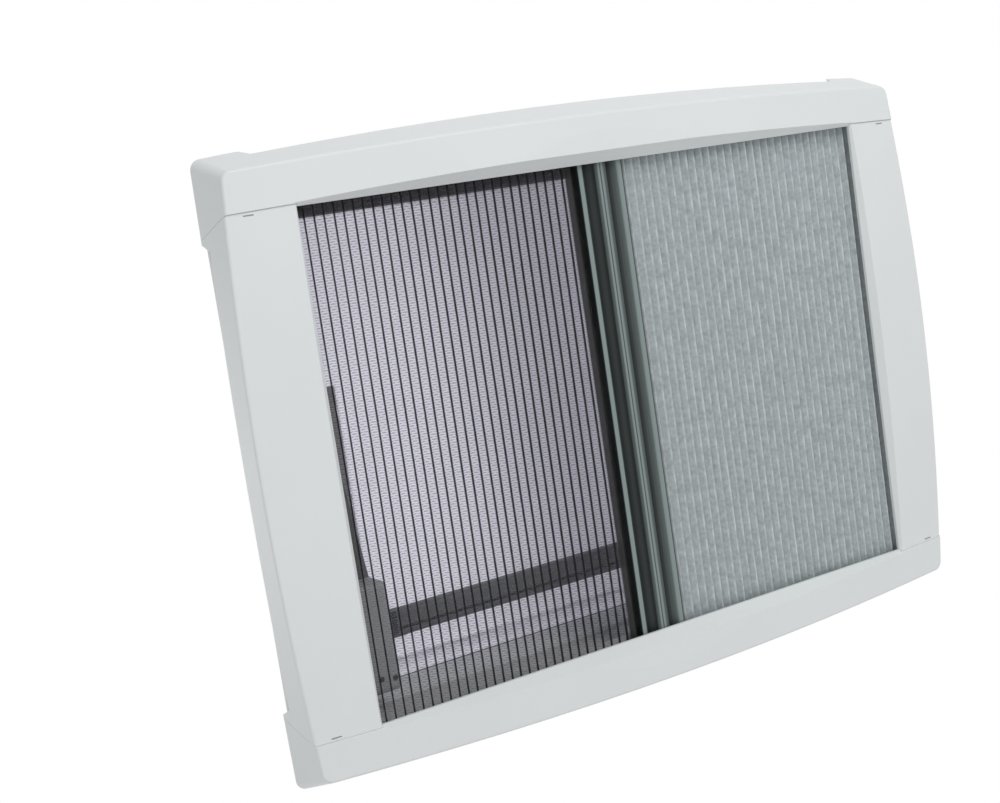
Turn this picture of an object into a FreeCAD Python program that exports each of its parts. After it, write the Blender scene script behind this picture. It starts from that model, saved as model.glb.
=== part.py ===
"""Camper roof hatch for a 700 x 500 mm roof cut-out.

Millimetres, +Z up to the sky. The origin is the centre of the cut-out, on the roof's outer skin,
which is the face that the flange of the roof frame sits on. The lid is hinged along -Y and opens
at +Y. The inner trim faces down into the room, with a pleated flyscreen that is drawn from the
left (-X) and a pleated blackout blind that is drawn from the right (+X).
"""
import FreeCAD, Part
import math
import os

V = FreeCAD.Vector
X_AXIS = V(1, 0, 0)
Z_AXIS = V(0, 0, 1)

# The roof that the hatch is made for
cutout_length = 700.0
cutout_width = 500.0
roof_thickness = 32.0
cutout_clearance = 6.0              # from the cut-out's edge to the reveal panels
reach = 1000.0                      # longer than any piece, for cutting solids

# Roof frame: flange on the roof and sloped upstand round the opening
flange_overlap = 22.0
flange_thickness = 4.0
flange_corner = 50.0
upstand_height = 52.0
upstand_foot = 6.0                  # how far the upstand's foot stands outside the cut-out
upstand_lean = 11.0                 # how far its outer wall leans in, foot to rim
upstand_step = 4.0                  # inner wall, inside the reveal panels
rim_corner = 3.0
rim_outer_corner = 24.0

# Reveal: four panels that line the roof opening
panel_wall = 4.0

# Lid seal on the rim
seal_width = 6.0
seal_corner = 22.0
seal_height = 7.7
seal_gap = 0.3

# Inner trim
trim_depth = 47.0                   # corner foot to the front corner of a seam
opening_inset_x = 30.0              # cut-out edge to opening edge
opening_inset_y = 21.1
side_trim_width = 75.6              # opening edge to the outer front edge, mid-side
long_trim_width = 45.2
side_draft = 3.6                    # how far the short outer walls lean in, front to back
long_draft = 19.5                   # how far the long outer walls lean out, front to back
seam_corner_inset = 10.6            # outer front edge mid-side to the seam's corner
seam_margin = 0.4                   # opening edge to the seam's corner
crown_radius = 5400.0
trim_step = 1.6                     # how far the long trims stand proud of the side trims
trim_wall = 3.0
opening_edge_rise = 1.7             # opening edge, below the seam corners
bevel_slope = 0.85                  # bevel run for each millimetre of depth
bevel_depth = 50.0                  # more than the crown's height
seat_width = 17.0                   # flat seat behind the opening's edge
front_overshoot = 14.0              # level of the front outline, below the seam corners
front_side_radius = 2137.0
back_side_radius = 13100.0
long_side_radius = 5410.0
trim_corner = 10.0
trim_edge_round = 2.5
seam_slope = 0.3775                 # lean of the seam between two trims
seam_gap = 0.3
foot_height = 13.5
long_foot_length = 54.0             # corner feet, from the outer edge mid-side
side_foot_length = 78.0
foot_slant = 6.0

# Screens, their guides and cassettes
guide_wall = 1.5
guide_height = 18.6
guide_setback = 0.6                 # guide lips behind the opening's edge
screen_end_clearance = 3.0
cassette_lip = 2.0
cassette_room = 11.0                # between the trim's wall and the cassette
bar_width = 26.0
bar_thickness = 14.0
bar_gap = 0.6                       # between the two closed bars
scoop_width = 13.0
scoop_depth = 7.0
scoop_floor = 4.0                   # how deep the rim and the lip reach beside the scoop
bar_rim = 6.5
bar_edge_round = 1.5
scoop_edge_round = 2.5
glide_reach = 2.2
glide_length = 20.0
glide_height = 7.0
mesh_pitch = 18.0
mesh_rise = 4.4
mesh_thickness = 0.8
blind_pitch = 20.0
blind_rise = 5.0
blind_thickness = 1.0
screen_inset = 4.0                  # from the cassette's back wall

# Lid: outer dome with a drip edge, and a dished inner pane
lid_overhang = 3.0                  # past the rim
lid_corner = 26.0
lid_wall = 4.0
lid_gap = 2.0                       # drip edge over the rim
skirt_height = 10.0
dome_height = 52.0
dome_lean = 12.0                    # wall above the drip edge
dome_bevel = 62.0                   # slope from the shoulder to the flat top
shoulder_drop = 14.0
pane_wall = 3.0
pane_depth = 19.0
pane_clearance = 4.0                # between the pane's neck and the rim
pane_flare_x = 32.0                 # floor to neck
pane_flare_y = 15.0
pane_corner = 40.0

# Hinge along the lid's rear edge
hinge_offset = 12.0                 # axis behind the lid
hinge_drop = 2.0                    # axis under the drip edge
hinge_inset = 64.0                  # from the lid's ends
knuckle_radius = 5.5
knuckle_count = 5
knuckle_gap = 1.0
pin_radius = 2.5
pin_clearance = 0.3
leaf_thickness = 4.0
leaf_low = 20.0                     # where the frame's leaf starts on the upstand
leaf_high = 42.0
leaf_gap = 1.0                      # lid leaf over the drip edge

# Operating bow under the lid
bow_inset = 43.0                    # bar behind the edge of the pane's floor
bow_gap = 2.0                       # bar under the runners
bow_reach = 234.0                   # pivot to bar
bow_bar_width = 26.0
bow_bar_height = 16.0
bow_round = 5.0
bow_corner = 35.0                   # arm's centre line to the end of the bar
arm_width = 18.0
arm_setback = 44.0                  # pivot from the side wall
arm_splay = 25.0                    # how far an arm leans in, pivot to bar
arm_round = 3.0
arm_boss_radius = 13.0
stud_radius = 4.0
stud_clearance = 0.3
stud_plate_radius = 14.0
stud_plate = 4.0
groove_width = 2.0
groove_depth = 1.5
groove_offset = 4.5
runner_thickness = 6.0
runner_width = 18.0
runner_length = 247.0

# Locks on the side panels
lock_length = 104.0
lock_height = 34.0
lock_reach = 72.0
lock_round = 6.0
lock_overhang = 34.0                # how far a lock runs past the bow's bar
catch_length = 22.0
catch_height = 20.0
catch_reach = 9.0
catch_round = 3.0

# Clamps that hold the hatch to the roof from below
clamp_width = 40.0
clamp_wall = 3.0
clamp_reach = 28.0
clamp_leg = 24.0
clamp_long_pitch = 220.0

# Levels and edges that follow from the sizes above
cutout_x = cutout_length / 2
cutout_y = cutout_width / 2
opening_x = cutout_x - opening_inset_x
opening_y = cutout_y - opening_inset_y
front_half_length = opening_x + side_trim_width
front_half_width = opening_y + long_trim_width
back_half_length = front_half_length - side_draft
back_half_width = front_half_width + long_draft
seam_corner_x = front_half_length - seam_corner_inset
seam_corner_y = opening_y + seam_margin
seam_z = -roof_thickness - trim_depth
crown_rise = (seam_corner_x ** 2 + seam_corner_y ** 2) / (2 * crown_radius)
crown_z = seam_z - crown_rise
edge_z = seam_z - opening_edge_rise
seat_z = edge_z + trim_wall
long_foot_start = back_half_length - long_foot_length
side_foot_start = front_half_width - side_foot_length + foot_slant
panel_outer_x = cutout_x - cutout_clearance
panel_outer_y = cutout_y - cutout_clearance
panel_x = panel_outer_x - panel_wall
panel_y = panel_outer_y - panel_wall
panel_top = flange_thickness
rim_x = panel_x - upstand_step
rim_y = panel_y - upstand_step
rim_outer_x = cutout_x + upstand_foot - upstand_lean
rim_outer_y = cutout_y + upstand_foot - upstand_lean
guide_top_z = seat_z + guide_height
screen_z = (seat_z + guide_top_z) / 2
guide_inner_y = opening_y + guide_setback
guide_outer_y = panel_y + (panel_wall + guide_wall) / 2
screen_half_width = guide_outer_y - guide_wall - screen_end_clearance
cassette_x0 = opening_x + cassette_lip
cassette_x1 = back_half_length - trim_wall - cassette_room
lid_half_length = rim_outer_x + lid_overhang
lid_half_width = rim_outer_y + lid_overhang
lid_bottom = upstand_height + lid_gap
skirt_top = lid_bottom + skirt_height
dome_apex = lid_bottom + dome_height
shoulder_z = dome_apex - shoulder_drop
pane_rim = upstand_height + seal_height + seal_gap
pane_floor = pane_rim - pane_depth
pane_neck_x = rim_x - pane_clearance
pane_neck_y = rim_y - pane_clearance
pane_floor_x = pane_neck_x - pane_flare_x
pane_floor_y = pane_neck_y - pane_flare_y
hinge_y = -lid_half_width - hinge_offset
hinge_z = lid_bottom - hinge_drop
hinge_half_length = lid_half_length - hinge_inset
runner_z = pane_floor - runner_thickness
bow_z = runner_z - bow_gap - bow_bar_height / 2
bow_bar_y = pane_floor_y - bow_inset
bow_pivot_y = bow_bar_y - bow_reach
arm_pivot_x = rim_x - arm_setback
arm_end_x = arm_pivot_x - arm_splay
bow_bar_x = arm_end_x - bow_corner
lock_top_z = panel_top


def save(name, shape):
    shape.exportStep(os.path.join("parts", name + ".step"))


def block(x0, x1, y0, y1, z0, z1):
    return Part.makeBox(x1 - x0, y1 - y0, z1 - z0, V(x0, y0, z0))


def cylinder_x(radius, x0, x1, y, z):
    return Part.makeCylinder(radius, x1 - x0, V(x0, y, z), X_AXIS)


def prism_x(points, x0, x1):
    """Outline of (y, z) points, run along X."""
    face = Part.Face(Part.makePolygon([V(x0, y, z) for y, z in points + points[:1]]))
    return face.extrude(V(x1 - x0, 0, 0))


def prism_y(points, y0, y1):
    """Outline of (x, z) points, run along Y."""
    face = Part.Face(Part.makePolygon([V(x, y0, z) for x, z in points + points[:1]]))
    return face.extrude(V(0, y1 - y0, 0))


def mirror_x(shape):
    return shape.mirror(V(0, 0, 0), X_AXIS)


def mirror_y(shape):
    return shape.mirror(V(0, 0, 0), V(0, 1, 0))


def rounded_wire(half_x, half_y, corner, z):
    """Rectangle with round corners."""
    ax = half_x - corner
    ay = half_y - corner
    k = corner * math.sqrt(0.5)
    edges = []
    corners = [(1, 1), (-1, 1), (-1, -1), (1, -1)]
    for i, (sx, sy) in enumerate(corners):
        start = V(sx * half_x, sy * ay, z)
        end = V(sx * ax, sy * half_y, z)
        if sx * sy < 0:
            start, end = end, start
        middle = V(sx * (ax + k), sy * (ay + k), z)
        edges.append(Part.Arc(start, middle, end).toShape())
    joined = []
    for i, edge in enumerate(edges):
        following = edges[(i + 1) % len(edges)]
        joined.append(edge)
        joined.append(Part.makeLine(edge.Vertexes[-1].Point, following.Vertexes[0].Point))
    return Part.Wire(joined)


def rounded_plate(half_x, half_y, corner, z0, z1):
    return Part.Face(rounded_wire(half_x, half_y, corner, z0)).extrude(V(0, 0, z1 - z0))


def rounded_loft(low, high):
    """Solid between two round-cornered rectangles, each (half_x, half_y, corner, z)."""
    return Part.makeLoft([rounded_wire(*low), rounded_wire(*high)], True, True)


def rectangle_loft(low, high):
    """Solid between two rectangles, each (half_x, half_y, z)."""
    wires = []
    for half_x, half_y, z in (low, high):
        corners = [(half_x, half_y), (-half_x, half_y), (-half_x, -half_y), (half_x, -half_y), (half_x, half_y)]
        wires.append(Part.makePolygon([V(x, y, z) for x, y in corners]))
    return Part.makeLoft(wires, True, True)


def barrel_wire(half_x, half_y, side_radius, corner, z):
    """Outline of four shallow arcs with round corners."""
    long_centre = V(0, half_y - long_side_radius, z)
    side_centre = V(half_x - side_radius, 0, z)
    long_reach = long_side_radius - corner
    side_reach = side_radius - corner
    line = side_centre - long_centre
    span = line.Length
    along = (long_reach ** 2 - side_reach ** 2 + span ** 2) / (2 * span)
    across = math.sqrt(long_reach ** 2 - along ** 2)
    unit = V(line).normalize()
    normal = V(-unit.y, unit.x, 0)
    centre = long_centre + unit * along + normal * across
    if centre.x < 0 or centre.y < 0:
        centre = long_centre + unit * along - normal * across
    to_long = (centre - long_centre).normalize()
    to_side = (centre - side_centre).normalize()
    on_long = long_centre + to_long * long_side_radius
    on_side = side_centre + to_side * side_radius
    on_corner = centre + (to_long + to_side).normalize() * corner

    def at(point, sx, sy):
        return V(point.x * sx, point.y * sy, z)

    edges = [
        Part.Arc(at(on_long, -1, 1), V(0, half_y, z), at(on_long, 1, 1)),
        Part.Arc(at(on_long, 1, 1), at(on_corner, 1, 1), at(on_side, 1, 1)),
        Part.Arc(at(on_side, 1, 1), V(half_x, 0, z), at(on_side, 1, -1)),
        Part.Arc(at(on_side, 1, -1), at(on_corner, 1, -1), at(on_long, 1, -1)),
        Part.Arc(at(on_long, 1, -1), V(0, -half_y, z), at(on_long, -1, -1)),
        Part.Arc(at(on_long, -1, -1), at(on_corner, -1, -1), at(on_side, -1, -1)),
        Part.Arc(at(on_side, -1, -1), V(-half_x, 0, z), at(on_side, -1, 1)),
        Part.Arc(at(on_side, -1, 1), at(on_corner, -1, 1), at(on_long, -1, 1)),
    ]
    return Part.Wire([e.toShape() for e in edges])


def crown_bowl(apex_z, radius, top_z):
    """Everything above a shallow spherical front face, up to top_z."""
    rim = reach / 2
    rim_z = apex_z + radius - math.sqrt(radius ** 2 - rim ** 2)
    half_rim = rim / 2
    half_z = apex_z + radius - math.sqrt(radius ** 2 - half_rim ** 2)
    arc = Part.Arc(V(0, 0, apex_z), V(half_rim, 0, half_z), V(rim, 0, rim_z)).toShape()
    path = Part.makePolygon([V(rim, 0, rim_z), V(rim, 0, top_z), V(0, 0, top_z), V(0, 0, apex_z)])
    return Part.Face(Part.Wire([arc] + path.Edges)).revolve(V(0, 0, 0), Z_AXIS, 360)


def trim_body(inset):
    """The trim's outside as a full block, or its inside when inset is a wall."""
    front_z = seam_z - front_overshoot
    front = barrel_wire(front_half_length - inset, front_half_width - inset, front_side_radius - inset,
                        trim_corner - inset, front_z)
    back = barrel_wire(back_half_length - inset, back_half_width - inset, back_side_radius - inset,
                       trim_corner - inset, -roof_thickness)
    return Part.makeLoft([front, back], True, True)


def trim_ring(proud):
    """The four trims in one, before the seams are cut, with the front face that far forward."""
    bowl = crown_bowl(crown_z - proud, crown_radius, 0)
    ring = trim_body(0).common(bowl)
    sphere = [f for f in ring.Faces if f.Surface.TypeId == "Part::GeomSphere"][0]
    ring = ring.makeFillet(trim_edge_round, sphere.Edges)

    flare = bevel_depth * bevel_slope
    bevel = rectangle_loft((opening_x + flare, opening_y + flare, edge_z - bevel_depth),
                           (opening_x, opening_y, edge_z))
    throat = block(-opening_x, opening_x, -opening_y, opening_y, edge_z - trim_wall, 0)
    ring = ring.cut(bevel).cut(throat)

    hollow = trim_body(trim_wall)
    back_room = hollow.common(block(-reach, reach, -reach, reach, seat_z, 0))
    seat_x = opening_x + seat_width
    seat_y = opening_y + seat_width
    pocket = hollow.common(crown_bowl(crown_z + trim_wall, crown_radius - trim_wall, seat_z))
    pocket = pocket.cut(block(-seat_x, seat_x, -seat_y, seat_y, -reach, 0))
    ring = ring.cut(back_room).cut(pocket)

    foot_z = -roof_thickness - foot_height
    top_z = foot_z + foot_height

    def relief(half):
        return [(-half, foot_z), (half, foot_z), (half + foot_slant, top_z), (-half - foot_slant, top_z)]

    ring = ring.cut(prism_y(relief(long_foot_start), -reach, reach))
    return ring.cut(prism_x(relief(side_foot_start), -reach, reach))


def side_wedge(gap):
    """What lies right of the opening, between the two slanted seam planes, widened by gap."""
    low_z = crown_z - trim_wall
    high_z = 0.0
    low_y = seam_corner_y - seam_slope * (low_z - seam_z) + gap
    high_y = seam_corner_y - seam_slope * (high_z - seam_z) + gap
    profile = [(-low_y, low_z), (low_y, low_z), (high_y, high_z), (-high_y, high_z)]
    return prism_x(profile, opening_x - gap, reach)


def make_trims():
    side = trim_ring(0).common(side_wedge(-seam_gap / 2))
    room = side_wedge(seam_gap / 2)
    longs = trim_ring(trim_step).cut(room).cut(mirror_x(room)).Solids
    longs = sorted(longs, key=lambda s: s.CenterOfMass.y)
    save("trim_right", side)
    save("trim_left", mirror_x(side))
    save("trim_hinge_side", longs[0])
    save("trim_handle_side", longs[-1])


def make_roof_frame():
    foot_x = cutout_x + upstand_foot
    foot_y = cutout_y + upstand_foot
    frame = rounded_plate(cutout_x + flange_overlap, cutout_y + flange_overlap, flange_corner, 0, flange_thickness)
    frame = frame.fuse(rounded_loft((foot_x, foot_y, rim_outer_corner + upstand_lean, flange_thickness),
                                    (rim_outer_x, rim_outer_y, rim_outer_corner, upstand_height)))
    frame = frame.cut(block(-panel_outer_x, panel_outer_x, -panel_outer_y, panel_outer_y, 0, panel_top))
    frame = frame.cut(rounded_plate(rim_x, rim_y, rim_corner, panel_top, upstand_height))
    save("roof_frame", frame.removeSplitter())


def make_seal():
    middle_x = (rim_x + rim_outer_x) / 2
    middle_y = (rim_y + rim_outer_y) / 2
    half = seal_width / 2
    top = upstand_height + seal_height
    outer = rounded_plate(middle_x + half, middle_y + half, seal_corner, upstand_height, top)
    inner = rounded_plate(middle_x - half, middle_y - half, seal_corner - seal_width, upstand_height, top)
    save("lid_seal", outer.cut(inner))


def make_reveal():
    long_panel = block(-panel_outer_x, panel_outer_x, panel_y, panel_outer_y, guide_top_z, panel_top)
    side_panel = block(panel_x, panel_outer_x, -panel_y, panel_y, guide_top_z, panel_top)
    save("reveal_handle_side", long_panel)
    save("reveal_hinge_side", mirror_y(long_panel))
    save("reveal_right", side_panel)
    save("reveal_left", mirror_x(side_panel))


def make_clamps():
    z1 = -roof_thickness
    z0 = z1 - clamp_wall
    profile = [(0, z0 - clamp_leg), (clamp_wall, z0 - clamp_leg), (clamp_wall, z0), (clamp_reach, z0),
               (clamp_reach, z1), (0, z1)]
    clamps = []
    half = clamp_width / 2
    for x in (-clamp_long_pitch, 0, clamp_long_pitch):
        points = [(panel_outer_y + y, z) for y, z in profile]
        clamp = prism_x(points, x - half, x + half)
        clamps += [clamp, mirror_y(clamp)]
    side = prism_y([(panel_outer_x + x, z) for x, z in profile], -half, half)
    clamps += [side, mirror_x(side)]
    save("mounting_clamps", Part.makeCompound(clamps))


def make_guides():
    """C rails that carry the ends of the screens and their bars."""
    y0 = guide_inner_y
    y1 = guide_outer_y
    web = y1 - guide_wall
    z0 = seat_z
    z1 = guide_top_z
    profile = [(y0, z0), (y1, z0), (y1, z1), (y0, z1), (y0, z1 - guide_wall), (web, z1 - guide_wall),
               (web, z0 + guide_wall), (y0, z0 + guide_wall)]
    rail = prism_x(profile, -cassette_x1, cassette_x1)
    save("guide_handle_side", rail)
    save("guide_hinge_side", mirror_y(rail))


def make_cassettes():
    """Open boxes behind the side trims that the folded screens draw back into."""
    x0 = cassette_x0
    x1 = cassette_x1
    web = x1 - guide_wall
    z0 = seat_z
    z1 = guide_top_z
    profile = [(x0, z0), (x1, z0), (x1, z1), (x0, z1), (x0, z1 - guide_wall), (web, z1 - guide_wall),
               (web, z0 + guide_wall), (x0, z0 + guide_wall)]
    box = prism_y(profile, -guide_inner_y, guide_inner_y)
    save("blind_cassette", box)
    save("flyscreen_cassette", mirror_x(box))


def pleats(start, end, pitch, rise, thickness):
    """Zigzag sheet from start to end along X, as one closed outline run along Y."""
    folds = max(2, round(2 * abs(end - start) / pitch))
    step = (end - start) / folds
    upper = []
    for i in range(folds + 1):
        side = 1 if i % 2 else -1
        upper.append((start + i * step, screen_z + side * rise / 2 + thickness / 2))
    lower = [(x, z - thickness) for x, z in reversed(upper)]
    return prism_y(upper + lower, -screen_half_width, screen_half_width)


def make_screens():
    back = cassette_x1 - guide_wall - screen_inset
    front = bar_gap / 2 + bar_width
    save("blackout_blind", pleats(front, back, blind_pitch, blind_rise, blind_thickness))
    save("flyscreen", pleats(-front, -back, mesh_pitch, mesh_rise, mesh_thickness))


def make_bars():
    """Pull bars: a base with the scoop's floor, a rim on the outer side and a lip where the bars meet."""
    x0 = bar_gap / 2
    x1 = x0 + bar_width
    z1 = screen_z + bar_thickness / 2
    z0 = z1 - bar_thickness
    half = screen_half_width
    scoop_end = x1 - bar_rim
    middle = scoop_end - scoop_width / 2
    radius = (scoop_width ** 2 / 4 + scoop_depth ** 2) / (2 * scoop_depth)
    scoop = Part.makeCylinder(radius, 2 * half, V(middle, -half, z0 + scoop_depth - radius), V(0, 1, 0))
    floor_z = z0 + scoop_floor
    base = block(x0, x1, -half, half, floor_z, z1).cut(scoop)
    rim = block(middle, x1, -half, half, z0, floor_z).cut(scoop)
    rim = rim.makeFillet(bar_edge_round, front_edges(rim, x1, z0))
    rim = rim.makeFillet(scoop_edge_round, front_edges(rim, scoop_end, z0))
    lip = block(x0, middle, -half, half, z0, floor_z).cut(scoop)

    glide_x = (x0 + x1 - glide_length) / 2
    glide = block(glide_x, glide_x + glide_length, half, half + glide_reach,
                  screen_z - glide_height / 2, screen_z + glide_height / 2)
    glides = Part.makeCompound([glide, mirror_y(glide)])
    for suffix, shape in (("", base), ("_rim", rim), ("_lip", lip), ("_glides", glides)):
        save("blind_bar" + suffix, shape)
        save("flyscreen_bar" + suffix, mirror_x(shape))


def front_edges(shape, x, z):
    """Edges that run along Y at the given place."""
    def there(edge):
        box = edge.BoundBox
        return abs(box.XMin - x) + abs(box.XMax - x) + abs(box.ZMin - z) + abs(box.ZMax - z) < 1e-3
    return [edge for edge in shape.Edges if there(edge)]


def lid_block(inset):
    """The dome as a full block, or the space inside it when inset is its wall."""
    half_x = lid_half_length - inset
    half_y = lid_half_width - inset
    corner = lid_corner - inset
    skirt = rounded_plate(half_x, half_y, corner, lid_bottom, skirt_top)
    top_x = half_x - dome_lean
    top_y = half_y - dome_lean
    wall = rounded_loft((half_x, half_y, corner, skirt_top), (top_x, top_y, corner, shoulder_z - inset))
    slope = rounded_loft((top_x, top_y, corner, shoulder_z - inset),
                         (top_x - dome_bevel, top_y - dome_bevel, corner, dome_apex - inset))
    return skirt.fuse([wall, slope]).removeSplitter()


def make_lid():
    save("lid_dome", lid_block(0).cut(lid_block(lid_wall)))

    rim_x1 = lid_half_length - lid_wall
    rim_y1 = lid_half_width - lid_wall
    rim = rounded_plate(rim_x1, rim_y1, lid_corner - lid_wall, pane_rim, pane_rim + pane_wall)
    outside = rounded_loft((pane_floor_x, pane_floor_y, pane_corner, pane_floor),
                           (pane_neck_x, pane_neck_y, pane_corner, pane_rim))
    inner = pane_corner - pane_wall
    inside = rounded_loft((pane_floor_x - pane_wall, pane_floor_y - pane_wall, inner, pane_floor + pane_wall),
                          (pane_neck_x - pane_wall, pane_neck_y - pane_wall, inner, pane_rim + pane_wall))
    save("lid_inner_pane", rim.fuse(outside).cut(inside).removeSplitter())


def knuckle_spans(first):
    """Stretches of the hinge barrel, every second one, from the first or the second on."""
    length = 2 * hinge_half_length / knuckle_count
    spans = []
    for i in range(first, knuckle_count, 2):
        x0 = -hinge_half_length + i * length
        spans.append((x0 + knuckle_gap / 2, x0 + length - knuckle_gap / 2))
    return spans


def upstand_y(z):
    """Outer face of the upstand on the hinge side."""
    climb = (z - flange_thickness) / (upstand_height - flange_thickness)
    return -(cutout_y + upstand_foot - upstand_lean * climb)


def make_hinge():
    half_leaf = leaf_thickness / 2
    strip = [(upstand_y(leaf_low), leaf_low), (upstand_y(leaf_high), leaf_high),
             (upstand_y(leaf_high) - leaf_thickness, leaf_high), (upstand_y(leaf_low) - leaf_thickness, leaf_low)]
    frame_leaf = prism_x(strip, -hinge_half_length, hinge_half_length)
    arm_root = leaf_high - 2 * leaf_thickness
    arm = [(upstand_y(leaf_high) - half_leaf, leaf_high), (upstand_y(arm_root) - half_leaf, arm_root),
           (hinge_y, hinge_z - knuckle_radius), (hinge_y, hinge_z - half_leaf)]
    for x0, x1 in knuckle_spans(0):
        frame_leaf = frame_leaf.fuse([prism_x(arm, x0, x1), cylinder_x(knuckle_radius, x0, x1, hinge_y, hinge_z)])
    frame_leaf = frame_leaf.cut(cylinder_x(pin_radius, -reach, reach, hinge_y, hinge_z))
    save("hinge_frame_leaf", frame_leaf.removeSplitter())
    save("hinge_pin", cylinder_x(pin_radius, -hinge_half_length, hinge_half_length, hinge_y, hinge_z))

    skirt_y = -lid_half_width
    leaf_z = lid_bottom + leaf_gap
    lid_leaf = block(-hinge_half_length, hinge_half_length, skirt_y - half_leaf, skirt_y, leaf_z, skirt_top)
    arm = [(hinge_y, hinge_z + half_leaf), (hinge_y, hinge_z + knuckle_radius),
           (skirt_y - half_leaf, leaf_z + leaf_thickness), (skirt_y - half_leaf, leaf_z)]
    for x0, x1 in knuckle_spans(1):
        lid_leaf = lid_leaf.fuse([prism_x(arm, x0, x1), cylinder_x(knuckle_radius, x0, x1, hinge_y, hinge_z)])
    lid_leaf = lid_leaf.cut(cylinder_x(pin_radius + pin_clearance, -reach, reach, hinge_y, hinge_z))
    save("hinge_lid_leaf", lid_leaf.removeSplitter())


def make_bow():
    y0 = bow_bar_y - bow_bar_width / 2
    y1 = bow_bar_y + bow_bar_width / 2
    z0 = bow_z - bow_bar_height / 2
    z1 = bow_z + bow_bar_height / 2
    bar = block(-bow_bar_x, bow_bar_x, y0, y1, z0, z1)
    bar = bar.makeFillet(bow_round, [e for e in bar.Edges if e.BoundBox.XLength > bow_bar_x])
    groove_y = bow_bar_y + groove_offset
    groove_x = bow_bar_x - bow_bar_width / 2
    groove = block(-groove_x, groove_x, groove_y - groove_width / 2, groove_y + groove_width / 2,
                   z0, z0 + groove_depth)
    save("bow_bar", bar.cut(groove))

    half = arm_width / 2
    elbow_x = arm_end_x + half
    elbow = bow_bar_width
    k = elbow * (1 - math.sqrt(0.5))
    inside = [V(bow_bar_x, y1, z0), V(bow_bar_x, y0, z0), V(arm_end_x - half, y0, z0),
              V(arm_pivot_x - half, bow_pivot_y, z0), V(arm_pivot_x + half, bow_pivot_y, z0),
              V(elbow_x, y1 - elbow, z0)]
    bend = Part.Arc(inside[-1], V(elbow_x - k, y1 - k, z0), V(elbow_x - elbow, y1, z0)).toShape()
    straight = Part.makePolygon(inside).Edges
    closing = Part.makeLine(V(elbow_x - elbow, y1, z0), inside[0])
    arm = Part.Face(Part.Wire(straight + [bend, closing])).extrude(V(0, 0, bow_bar_height))
    flat = [e for e in arm.Edges if e.BoundBox.ZLength < 1e-6 and e.BoundBox.XMax > bow_bar_x + 1e-6]
    arm = arm.makeFillet(arm_round, flat)
    boss = cylinder_x(arm_boss_radius, arm_pivot_x - half, arm_pivot_x + half, bow_pivot_y, bow_z)
    bore = cylinder_x(stud_radius + stud_clearance, 0, reach, bow_pivot_y, bow_z)
    arm = arm.fuse(boss).cut(bore).removeSplitter()
    save("bow_arm_right", arm)
    save("bow_arm_left", mirror_x(arm))

    stud = cylinder_x(stud_radius, arm_pivot_x - half, rim_x, bow_pivot_y, bow_z)
    stud = stud.fuse(cylinder_x(stud_plate_radius, rim_x - stud_plate, rim_x, bow_pivot_y, bow_z))
    save("bow_pivot_right", stud)
    save("bow_pivot_left", mirror_x(stud))


def make_runners():
    """Strips under the lid that the bow's bar slides along."""
    x1 = arm_end_x + runner_width / 2
    y1 = bow_bar_y + bow_bar_width / 2
    runner = block(x1 - runner_width, x1, y1 - runner_length, y1, runner_z, pane_floor)
    save("lid_runner_right", runner)
    save("lid_runner_left", mirror_x(runner))


def make_locks():
    x0 = panel_x - lock_reach
    y1 = bow_bar_y + bow_bar_width / 2 + lock_overhang
    y0 = y1 - lock_length
    z1 = lock_top_z
    z0 = z1 - lock_height
    body = block(x0, panel_x, y0, y1, z0, z1)
    body = body.makeFillet(lock_round, [e for e in body.Edges if e.BoundBox.XMin < x0 + 1e-6])
    catch_y = bow_bar_y - bow_bar_width / 2
    catch = block(x0 - catch_reach, x0, catch_y - catch_length / 2, catch_y + catch_length / 2,
                  z1 - lock_round - catch_height, z1 - lock_round)
    catch = catch.makeFillet(catch_round, [e for e in catch.Edges if e.BoundBox.XMax < x0])
    save("lock_right", body)
    save("lock_left", mirror_x(body))
    save("lock_catch_right", catch)
    save("lock_catch_left", mirror_x(catch))


os.makedirs("parts", exist_ok=True)
make_trims()
make_roof_frame()
make_seal()
make_reveal()
make_clamps()
make_guides()
make_cassettes()
make_screens()
make_bars()
make_lid()
make_hinge()
make_bow()
make_runners()
make_locks()
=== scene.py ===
"""Camper roof hatch: finishes, pleated screens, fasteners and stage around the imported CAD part."""
import math

import bmesh
import bpy
from mathutils import Matrix, Vector
from mathutils.bvhtree import BVHTree


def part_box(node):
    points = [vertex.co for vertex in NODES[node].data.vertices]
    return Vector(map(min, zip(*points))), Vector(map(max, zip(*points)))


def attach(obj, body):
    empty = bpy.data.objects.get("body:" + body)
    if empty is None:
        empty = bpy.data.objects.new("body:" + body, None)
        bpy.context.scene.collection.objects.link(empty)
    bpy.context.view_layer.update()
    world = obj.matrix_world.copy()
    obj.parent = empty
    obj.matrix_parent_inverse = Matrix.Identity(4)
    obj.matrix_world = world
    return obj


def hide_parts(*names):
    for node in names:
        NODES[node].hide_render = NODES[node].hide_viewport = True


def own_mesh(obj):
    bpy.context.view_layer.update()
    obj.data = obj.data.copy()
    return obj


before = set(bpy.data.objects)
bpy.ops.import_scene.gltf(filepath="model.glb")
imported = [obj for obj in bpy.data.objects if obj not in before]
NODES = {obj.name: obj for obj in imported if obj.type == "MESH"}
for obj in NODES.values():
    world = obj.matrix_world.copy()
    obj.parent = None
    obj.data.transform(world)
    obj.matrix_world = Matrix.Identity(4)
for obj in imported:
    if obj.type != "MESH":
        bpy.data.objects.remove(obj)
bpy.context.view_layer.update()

bl_info = {
    "name": "Camper roof hatch",
    "version": (1, 0, 0),
    "blender": (4, 5, 0),
    "location": "3D View > Sidebar > Hatch",
    "description": "Dresses the roof hatch: trim, acrylic lid, pleated screens, pull bars and fasteners",
    "category": "Object",
}

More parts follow.
